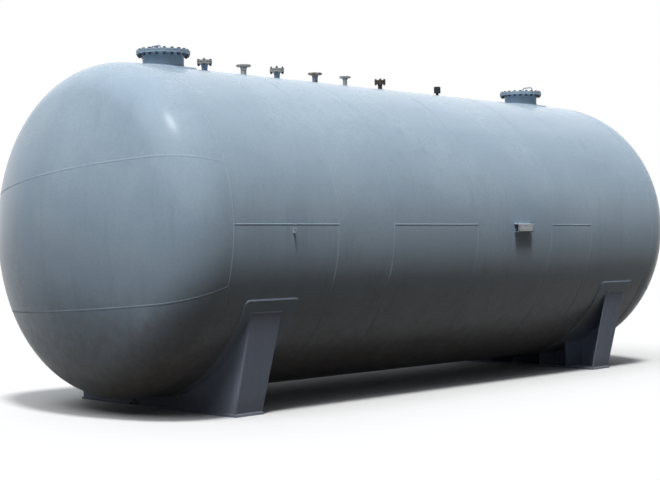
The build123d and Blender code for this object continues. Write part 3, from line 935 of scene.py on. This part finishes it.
def attachment_lines():
    """Welds of the plate bracket's legs and of the earthing lug on the shell."""
    lines = []
    leg_y = -sqrt(TANK_RADIUS**2 - BRACKET_HEIGHT**2 / 4)
    for sign in (-1.0, 1.0):
        leg = np.array([BRACKET_X, leg_y, AXIS_HEIGHT + sign * BRACKET_HEIGHT / 2])
        reach = BRACKET_HALF * ALONG
        lines.append(straight(leg - reach, leg + reach, (0.0, -1.0, sign)))
        lug = np.array([LUG_X + sign * LUG_PLATE / 2, -TANK_RADIUS, LUG_MIDDLE])
        reach = LUG_HALF_HEIGHT * UP
        lines.append(straight(lug - reach, lug + reach, (sign, -1.0, 0.0)))
    return lines


# The two dished heads, pressed from flat round blanks

HEAD_RINGS = 84
HEAD_SIDES = 180
SHARP_EDGE = 40.0


def make_head(name, side):
    """A head turned from its section, hollow, with smooth shading over its tip."""
    run = np.repeat(np.linspace(0.0, HEAD_LENGTH, HEAD_RINGS + 1)[1:], HEAD_SIDES)
    turn = np.tile(np.linspace(0.0, 2 * pi, HEAD_SIDES, endpoint=False), HEAD_RINGS)
    outer, out = on_head(side, np.append(0.0, run * np.cos(turn)), np.append(0.0, run * np.sin(turn)))
    skins = np.vstack([outer, outer - out * HEAD_WALL])
    ring = np.arange(1, 1 + HEAD_RINGS * HEAD_SIDES).reshape(HEAD_RINGS, HEAD_SIDES)
    inner = ring + len(outer)
    faces = []
    for tip, skin in ((0, ring), (len(outer), inner)):
        ahead = np.roll(skin, -1, axis=1)
        faces += [(tip, a, b) for a, b in zip(skin[0], ahead[0])]
        faces += np.stack([skin[:-1], skin[1:], ahead[1:], ahead[:-1]], axis=-1).reshape(-1, 4).tolist()
    rim = [ring[-1], inner[-1], np.roll(inner[-1], -1), np.roll(ring[-1], -1)]
    faces += np.stack(rim, axis=-1).tolist()
    mesh = bpy.data.meshes.new(name)
    mesh.from_pydata(skins.tolist(), [], [tuple(int(v) for v in face) for face in faces])
    face_outwards(mesh)
    mesh.shade_smooth()
    mesh.set_sharp_from_angle(angle=radians(SHARP_EDGE))
    mesh.materials.append(tank_paint)
    head = put(name, mesh)
    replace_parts(hang(head), name)


make_head("head_left", -1)
make_head("head_right", 1)


# Welds

# Seams of the heads' blanks: distance over the middle, lean in degrees
LEFT_BLANK = ((0.53, -6.0), (-0.75, -3.0))
RIGHT_BLANK = ((0.56, 4.0), (-0.72, 5.0))
ring_lines = [ring_seam(x) for x in SEAMS]
long_lines = [long_seam(course) for course in range(len(SEAMS) - 1)]
head_lines = [blank_seam(-1, *s) for s in LEFT_BLANK] + [blank_seam(1, *s) for s in RIGHT_BLANK]
manway_lines = []
for x in (-MANWAY_X, MANWAY_X):
    manway_lines.append(neck_ring(x, MANWAY_PAD))
    manway_lines.append(neck_ring(x, MANWAY_NECK, TANK_RADIUS + MANWAY_PAD_TOP))
    manway_lines.append(flange_ring(x))
nozzle_lines = [neck_ring(x, radius) for x, radius in NOZZLES] + [neck_ring(DRAIN_X, DRAIN_NECK, way=-1.0)]
weld("shell_ring_welds", ring_lines, RING_BEAD, tank_weld_highlight)
weld("shell_long_welds", long_lines, LONG_BEAD, tank_weld_highlight)
weld("head_seam_welds", head_lines, HEAD_BEAD, tank_weld_highlight)
weld("wear_plate_welds", [wear_outline(-1), wear_outline(1)], WEAR_BEAD, tank_weld_highlight)
weld("saddle_welds", saddle_lines(-1) + saddle_lines(1), SADDLE_BEAD, saddle_weld)
weld("manway_welds", manway_lines, MANWAY_BEAD, tank_weld_highlight)
weld("nozzle_welds", nozzle_lines, NOZZLE_BEAD, tank_weld_highlight)
weld("bracket_welds", attachment_lines(), BRACKET_BEAD, tank_weld_highlight)


# Bolts of the manways and of the blinded nozzles

def bolt_points(name, x, height, radius, count, first):
    """Points round a bolt circle on the crown, from the first angle in degrees."""
    turns = [radians(first) + 2 * pi * k / count for k in range(count)]
    mesh = bpy.data.meshes.new(name)
    mesh.from_pydata([(x + radius * cos(turn), radius * sin(turn), height) for turn in turns], [], [])
    return mesh


manway_middle = CROWN_HEIGHT + (MANWAY_COVER_TOP + MANWAY_FLANGE_LOW) / 2
for x, name in ((-MANWAY_X, "left"), (MANWAY_X, "right")):
    points = bolt_points("manway_bolts", x, manway_middle, MANWAY_BOLT_CIRCLE, *MANWAY_BOLTS)
    grow("manway_" + name + "_bolts", points, bolt_tree,
         {**MANWAY_BOLT, "Material": bolt_steel})
for number, (x, radius, low, high, above) in enumerate(BLINDED, 1):
    points = bolt_points("nozzle_bolts", x, CROWN_HEIGHT + (low + high) / 2, radius, *NOZZLE_BOLTS)
    grow("nozzle_bolts_" + str(number), points, bolt_tree,
         {**NOZZLE_BOLT, "Grip": high - low, "Above": above, "Material": bolt_steel})


# Bare rating plate, riveted to the front of its bracket

PLATE_POINTS = 6


def make_rating_plate():
    """A plate with round corners and a panel sunk inside its border."""
    front_y = BRACKET_FRONT - PLATE_THICKNESS
    plate = bmesh.new()
    outline = [plate.verts.new((BRACKET_X + x, front_y, AXIS_HEIGHT + z))
               for x, z, _, _ in rounded_box(*PLATE_HALF, PLATE_ROUND, PLATE_POINTS)]
    front = plate.faces.new(outline)
    border = bmesh.ops.inset_region(plate, faces=[front], thickness=PLATE_BORDER, depth=0.0)["faces"]
    panel = [f for f in plate.faces if f not in border]
    bmesh.ops.inset_region(plate, faces=panel, thickness=PLATE_STEP, depth=-PLATE_SUNK)
    rim = [e for e in plate.edges if e.is_boundary]
    grown = bmesh.ops.extrude_edge_only(plate, edges=rim)["geom"]
    bmesh.ops.translate(plate, verts=[g for g in grown if isinstance(g, bmesh.types.BMVert)],
                        vec=(0.0, PLATE_THICKNESS, 0.0))
    bmesh.ops.contextual_create(plate, geom=[e for e in plate.edges if e.is_boundary])
    bmesh.ops.recalc_face_normals(plate, faces=plate.faces)
    mesh = bpy.data.meshes.new("rating_plate")
    plate.to_mesh(mesh)
    plate.free()
    mesh.materials.append(plate_metal)
    hang(put("rating_plate", mesh))


make_rating_plate()
rivet_x, rivet_z = PLATE_HALF[0] - RIVET_INSET, PLATE_HALF[1] - RIVET_INSET
rivet_spots = bpy.data.meshes.new("rivet_spots")
rivet_spots.from_pydata([(BRACKET_X + u * rivet_x, BRACKET_FRONT - PLATE_THICKNESS, AXIS_HEIGHT + v * rivet_z)
                         for u in (-1, 1) for v in (-1, 1)], [], [])
grow("plate_rivets", rivet_spots, rivet_tree, {**RIVET, "Material": plate_metal})


# Floor, light and camera

WHITE = tone(1, 1, 1)
FLOOR_REACH = 300.0
FLOOR_LEVEL = -0.001
FLOOR_PALE = tone(0.90, 0.90, 0.90)
FLOOR_BOUNCE = tone(0.050, 0.033, 0.022)
# Distances from the middle between which the floor fades to white
FADE_FROM, FADE_TO = 7.0, 26.0
SKY = {"Color": tone(0.80, 0.92, 1.0), "Strength": 0.06}
# Lamps: brightness, how wide each one looks in degrees, colour, and the way to it from the tank
LAMPS = {
    "key_light": (2.15, 9.0, (1.0, 0.99, 0.98), (-0.225, -0.300, 0.927)),
    "fill_light": (1.17, 40.0, (0.96, 0.98, 1.0), (-0.56, -0.12, 0.820)),
    "top_light": (0.30, 80.0, (0.96, 0.98, 1.0), (0.0, 0.0, 1.0)),
    "back_light": (0.46, 90.0, (0.98, 0.99, 1.0), (0.42, 0.74, 0.525)),
}
CAMERA_AT = (-11.382, -10.520, 1.6195)
CAMERA_YAW = 45.662
CAMERA_ROLL = -0.587
CAMERA_LENS = 74.14
CAMERA_SENSOR = 36.0
CAMERA_REACH = 1000.0


def seen_rays(tree):
    """One for rays from the camera, in reflections and through glass; nought for light that bounces."""
    rays = add(tree, "ShaderNodeLightPath").outputs
    seen = maths(tree, "MAXIMUM", rays["Is Camera Ray"], rays["Is Glossy Ray"])
    return maths(tree, "MAXIMUM", seen, rays["Is Transmission Ray"])


def mixed(tree, factor, first, second):
    """Mixes two shaders."""
    return add(tree, "ShaderNodeMixShader", {}, {0: factor, 1: first, 2: second}).outputs[0]


def make_floor():
    """A pale floor that shows the tank's shadow, fades to white far off, and throws little light back up."""
    finish, tree, shader = start_finish("pale_floor")
    tree.nodes.remove(shader)
    away = add(tree, "ShaderNodeVectorMath", {"operation": "LENGTH"}, {0: here(tree)}).outputs["Value"]
    pale = add(tree, "ShaderNodeBsdfDiffuse", {}, {"Color": FLOOR_PALE}).outputs[0]
    white = add(tree, "ShaderNodeEmission", {}, {"Color": WHITE, "Strength": 1.0}).outputs[0]
    shown = mixed(tree, spread(tree, away, FADE_FROM, FADE_TO), pale, white)
    dull = add(tree, "ShaderNodeBsdfDiffuse", {}, {"Color": FLOOR_BOUNCE}).outputs[0]
    both = mixed(tree, seen_rays(tree), dull, shown)
    tree.links.new(both, tree.nodes["Material Output"].inputs["Surface"])
    mesh = bpy.data.meshes.new("floor")
    quarters = ((-1, -1), (1, -1), (1, 1), (-1, 1))
    corners = [(u * FLOOR_REACH, v * FLOOR_REACH, FLOOR_LEVEL) for u, v in quarters]
    mesh.from_pydata(corners, [], [(0, 1, 2, 3)])
    mesh.materials.append(finish)
    floor = put("floor", mesh)


def make_world():
    """Soft sky light all round; white to the camera and in reflections."""
    world = bpy.data.worlds.new("soft_sky")
    world.use_nodes = True
    tree = world.node_tree
    tree.nodes.clear()
    sky = add(tree, "ShaderNodeBackground", {}, SKY).outputs[0]
    white = add(tree, "ShaderNodeBackground", {}, {"Color": WHITE, "Strength": 1.0}).outputs[0]
    add(tree, "ShaderNodeOutputWorld", {}, {"Surface": mixed(tree, seen_rays(tree), sky, white)})
    scene.world = world


def make_lamp(name, energy, width, colour, towards):
    """A soft lamp far off, in the given direction from the tank."""
    lamp = bpy.data.lights.new(name, "SUN")
    lamp.energy = energy
    lamp.angle = radians(width)
    lamp.color = colour
    light = put(name, lamp)
    light.rotation_mode = "QUATERNION"
    light.rotation_quaternion = Vector(towards).to_track_quat("Z", "Y")


def make_camera():
    """The photograph's viewpoint, at eye height off the tank's left front."""
    yaw, roll = radians(CAMERA_YAW), radians(CAMERA_ROLL)
    ahead = Vector((sin(yaw), cos(yaw), 0.0))
    level, upright = Vector((cos(yaw), -sin(yaw), 0.0)), Vector((0.0, 0.0, 1.0))
    right = level * cos(roll) + upright * sin(roll)
    up = upright * cos(roll) - level * sin(roll)
    data = bpy.data.cameras.new("camera")
    data.sensor_fit = "HORIZONTAL"
    data.sensor_width = CAMERA_SENSOR
    data.lens = CAMERA_LENS
    data.clip_end = CAMERA_REACH
    camera = put("camera", data)
    turned = Matrix((right, up, -ahead)).transposed().to_4x4()
    camera.matrix_world = Matrix.Translation(CAMERA_AT) @ turned
    scene.camera = camera


make_floor()
make_world()
for name, settings in LAMPS.items():
    make_lamp(name, *settings)
make_camera()
scene.view_settings.view_transform = "Standard"
